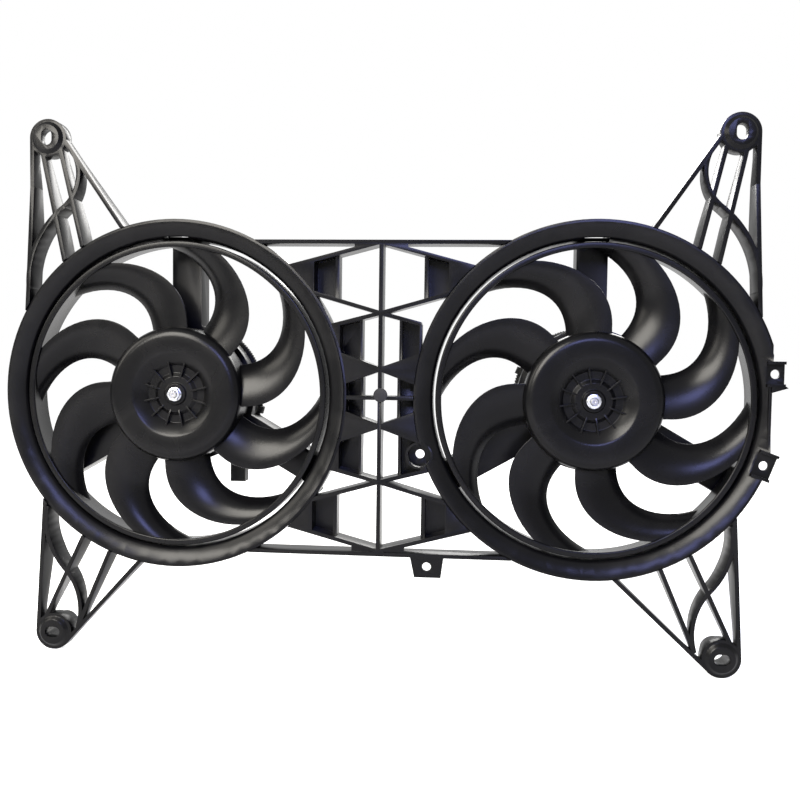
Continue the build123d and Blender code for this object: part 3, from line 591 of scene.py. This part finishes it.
def make_fan(side):
    """A whole fan moulding in place of its solid."""
    build = blades()
    hub_shell(build)
    hub_ribs(build)
    tip_band(build)
    turned = Matrix.Rotation(math.radians(-FAN_TURN[side]), 3, "Y")
    bmesh.ops.rotate(build, verts=build.verts, cent=(0, 0, 0), matrix=turned)
    finish_on_fan(build, side, "fan_moulding", "fan", FAN_EDGE)


# Nuts and shafts

def make_nut(side):
    """Flanged hexagon nut with the corners of its front face turned off."""
    hexagon_rear = NUT_REAR - NUT_FLANGE_DEPTH
    build = bmesh.new()
    spin_outline(build, [
        (SHAFT_RADIUS, NUT_REAR), (NUT_FLANGE, NUT_REAR),
        (NUT_FLANGE, hexagon_rear + NUT_FLANGE_SLOPE), (NUT_HALF, hexagon_rear),
        (NUT_HALF, NUT_FRONT), (NUT_FACE, NUT_FRONT),
        (SHAFT_RADIUS + NUT_MOUTH, NUT_FRONT), (SHAFT_RADIUS, NUT_FRONT + NUT_MOUTH),
    ], NUT_STEPS)
    for vert in build.verts:
        radius = math.hypot(vert.co.x, vert.co.z)
        if abs(radius - NUT_HALF) < SAME_PLACE:
            from_flat = math.degrees(math.atan2(vert.co.z, vert.co.x)) % 60 - 30
            reach = 1 / math.cos(math.radians(from_flat))
            vert.co.x *= reach
            vert.co.z *= reach
            if vert.co.y < (NUT_FRONT + hexagon_rear) / 2:
                vert.co.y += (NUT_HALF * reach - NUT_FACE) * NUT_CHAMFER
    finish_on_fan(build, side, "flange_nut", "fan_nut", NUT_EDGE)


def make_shaft(side):
    """Motor shaft with its centre mark, chamfers and the thread that stands out of the nut."""
    low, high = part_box(f"{side}_motor_shaft")
    end_radius = SHAFT_RADIUS - SHAFT_CHAMFER
    outline = [(radius, low.y + depth) for radius, depth in SHAFT_MARK]
    outline += [(end_radius, low.y), (SHAFT_RADIUS, low.y + SHAFT_CHAMFER)]
    for turn in range(THREAD_TURNS):
        depth = low.y + SHAFT_CHAMFER + (turn + 0.5) * THREAD_PITCH
        outline += [(SHAFT_RADIUS - THREAD_DEPTH, depth), (SHAFT_RADIUS, depth + THREAD_PITCH / 2)]
    outline += [(SHAFT_RADIUS, high.y - SHAFT_CHAMFER), (end_radius, high.y), (0, high.y)]
    build = bmesh.new()
    spin_outline(build, outline, NUT_STEPS, closed=False)
    bmesh.ops.remove_doubles(build, verts=build.verts, dist=SAME_PLACE)
    finish_on_fan(build, side, "turned_shaft", "motor_shaft", SHAFT_EDGE, 1)


# Leads

def along_lead(distance):
    """The middle of the left lead at a distance along it, and the way out from its arc's centre."""
    for middle, middle_angle, radius, start, end in LOOM_ARCS:
        length = radius * math.radians(abs(end - start))
        if distance <= length or radius == LOOM_ARCS[-1][2]:
            break
        distance -= length
    angle = math.radians(start + (end - start) * distance / length)
    turned = math.radians(middle_angle)
    outwards = Vector((math.cos(angle), 0, math.sin(angle)))
    return Vector((math.cos(turned), 0, math.sin(turned))) * middle + outwards * radius, outwards


def loom_outline(length):
    """Corrugated outside and plain inside of a straight loom, as radius and place along it."""
    rings = round(length / LOOM_PITCH)
    pitch = length / rings
    outside = []
    for ring in range(rings):
        outside += [(radius, (ring + share) * pitch) for radius, share in LOOM_RING]
    outside.append((LOOM_GROOVE, length))
    inside = [(LOOM_BORE, length - ring * pitch) for ring in range(rings + 1)]
    return outside + inside


def make_loom(side):
    """Corrugated loom of a motor's lead, laid along its way."""
    length = sum(radius * math.radians(abs(end - start)) for _, _, radius, start, end in LOOM_ARCS)
    low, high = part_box(f"{side}_lead")
    depth = (low.y + high.y) / 2
    hand = 1 if side == "left" else -1
    build = bmesh.new()
    spin_outline(build, loom_outline(length), LOOM_SIDES)
    for vert in build.verts:
        middle, outwards = along_lead(vert.co.y)
        placed = middle + outwards * vert.co.x
        vert.co = (hand * placed.x, depth + vert.co.z, placed.z)
    finish_on_fan(build, side, "corrugated_loom", "lead", LOOM_EDGE, 1)


# The rest of the pieces

def dress_nodes():
    """Gives each solid the finish of its slot."""
    for node, slot in SLOT_OF.items():
        solid = frame["nodes"][node]
        solid.data.materials.clear()
        solid.data.materials.append(MATERIALS[slot])


add_camera()
add_world()
add_floor()
dress_nodes()
for side in SIDES:
    make_fan(side)
    make_nut(side)
    make_shaft(side)
    make_loom(side)
for node in SHROUD_NODES:
    soften(node, SHROUD_EDGE)
for side in SIDES:
    for name in MOTOR_NODES:
        soften(f"{side}_{name}", MOTOR_EDGE)
add_lamp("warm_left", (-0.83, -1.52, 1.33), (0.9, 1.2), 135, (1, 0.96, 0.88))
add_lamp("warm_side", (-1.68, -0.68, 1.15), (0.6, 1.0), 22, (1, 0.95, 0.85))
add_lamp("violet_right", (0.27, -1.71, 1.08), (0.6, 0.5), 38, (0.36, 0.4, 1))
add_lamp("soft_rear", (0.5, 1.7, 1.5), (1.6, 1.0), 60, (1, 0.99, 0.97))
